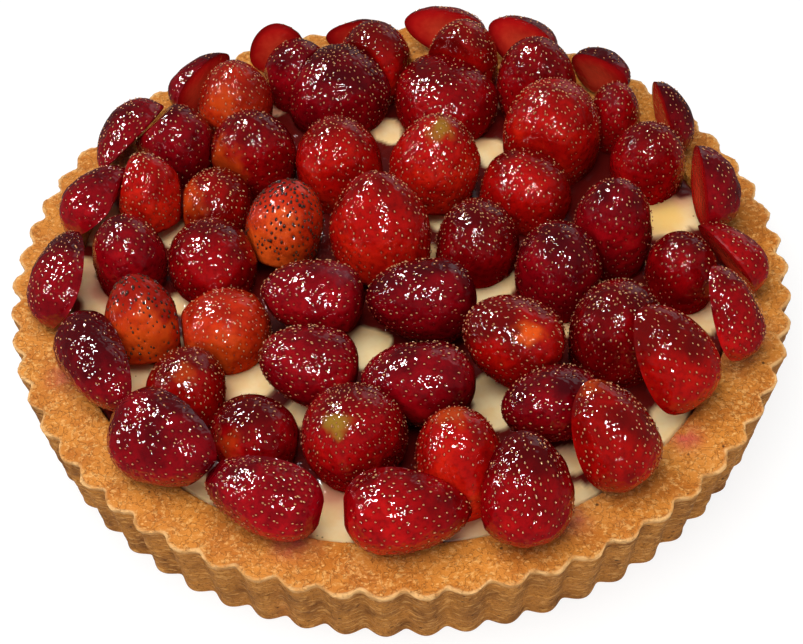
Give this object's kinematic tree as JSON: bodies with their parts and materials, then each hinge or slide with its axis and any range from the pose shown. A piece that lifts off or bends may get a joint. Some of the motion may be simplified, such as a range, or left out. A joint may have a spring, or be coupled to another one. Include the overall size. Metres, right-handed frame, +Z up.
{
  "type": "strawberry tart",
  "caption": "Round fluted pastry case filled with custard and crowded with glazed whole and halved strawberries, resting on its flat base.",
  "frame": {"origin": "centre of the flat base, on the surface that the tart stands on", "axes": "+Z is up, out of the filling; +X and +Y lie on the table, and -Y is the side where the larger halved berries lie on the rim"},
  "size_m": [0.2796, 0.2796, 0.0682],
  "materials": {
    "crust": "baked shortcrust pastry, golden brown, matt and grainy",
    "custard": "pale yellow custard cream with a thin glossy glaze",
    "berry_burgundy": "very ripe dark strawberry under clear glaze",
    "berry_crimson": "ripe deep red strawberry under clear glaze",
    "berry_scarlet": "bright red strawberry under clear glaze",
    "berry_orange": "less ripe orange-red strawberry under clear glaze",
    "seeds": "dry straw-coloured strawberry seeds"
  },
  "bodies": {
    "root": {"crust": "crust", "custard": "custard", "berry_01": "berry_burgundy", "berry_02": "berry_crimson", "berry_03": "berry_burgundy", "berry_04": "berry_crimson", "berry_05": "berry_crimson", "berry_06": "berry_burgundy", "berry_07": "berry_burgundy", "berry_08": "berry_burgundy", "berry_09": "berry_crimson", "berry_10": "berry_crimson", "berry_11": "berry_scarlet", "berry_12": "berry_scarlet", "berry_13": "berry_crimson", "berry_14": "berry_crimson", "berry_15": "berry_burgundy", "berry_16": "berry_burgundy", "berry_17": "berry_burgundy", "berry_18": "berry_burgundy", "berry_19": "berry_burgundy", "berry_20": "berry_burgundy", "berry_21": "berry_burgundy", "berry_22": "berry_scarlet", "berry_23": "berry_scarlet", "berry_24": "berry_crimson", "berry_25": "berry_crimson", "berry_26": "berry_crimson", "berry_27": "berry_crimson", "berry_28": "berry_crimson", "berry_29": "berry_burgundy", "berry_30": "berry_scarlet", "berry_31": "berry_crimson", "berry_32": "berry_crimson", "berry_33": "berry_scarlet", "berry_34": "berry_orange", "berry_35": "berry_burgundy", "berry_36": "berry_scarlet", "berry_37": "berry_burgundy", "berry_38": "berry_orange", "berry_39": "berry_burgundy", "berry_40": "berry_crimson", "berry_41": "berry_scarlet", "berry_42": "berry_burgundy", "berry_43": "berry_burgundy", "berry_44": "berry_scarlet", "berry_45": "berry_burgundy", "berry_46": "berry_burgundy", "berry_47": "berry_orange", "berry_48": "berry_crimson", "berry_49": "berry_scarlet", "berry_50": "berry_crimson", "berry_51": "berry_scarlet", "berry_52": "berry_scarlet", "berry_53": "berry_scarlet", "berry_54": "berry_crimson", "berry_55": "berry_burgundy", "berry_56": "berry_burgundy", "berry_57": "berry_orange", "berry_58": "berry_scarlet"}
  },
  "joints": []
}
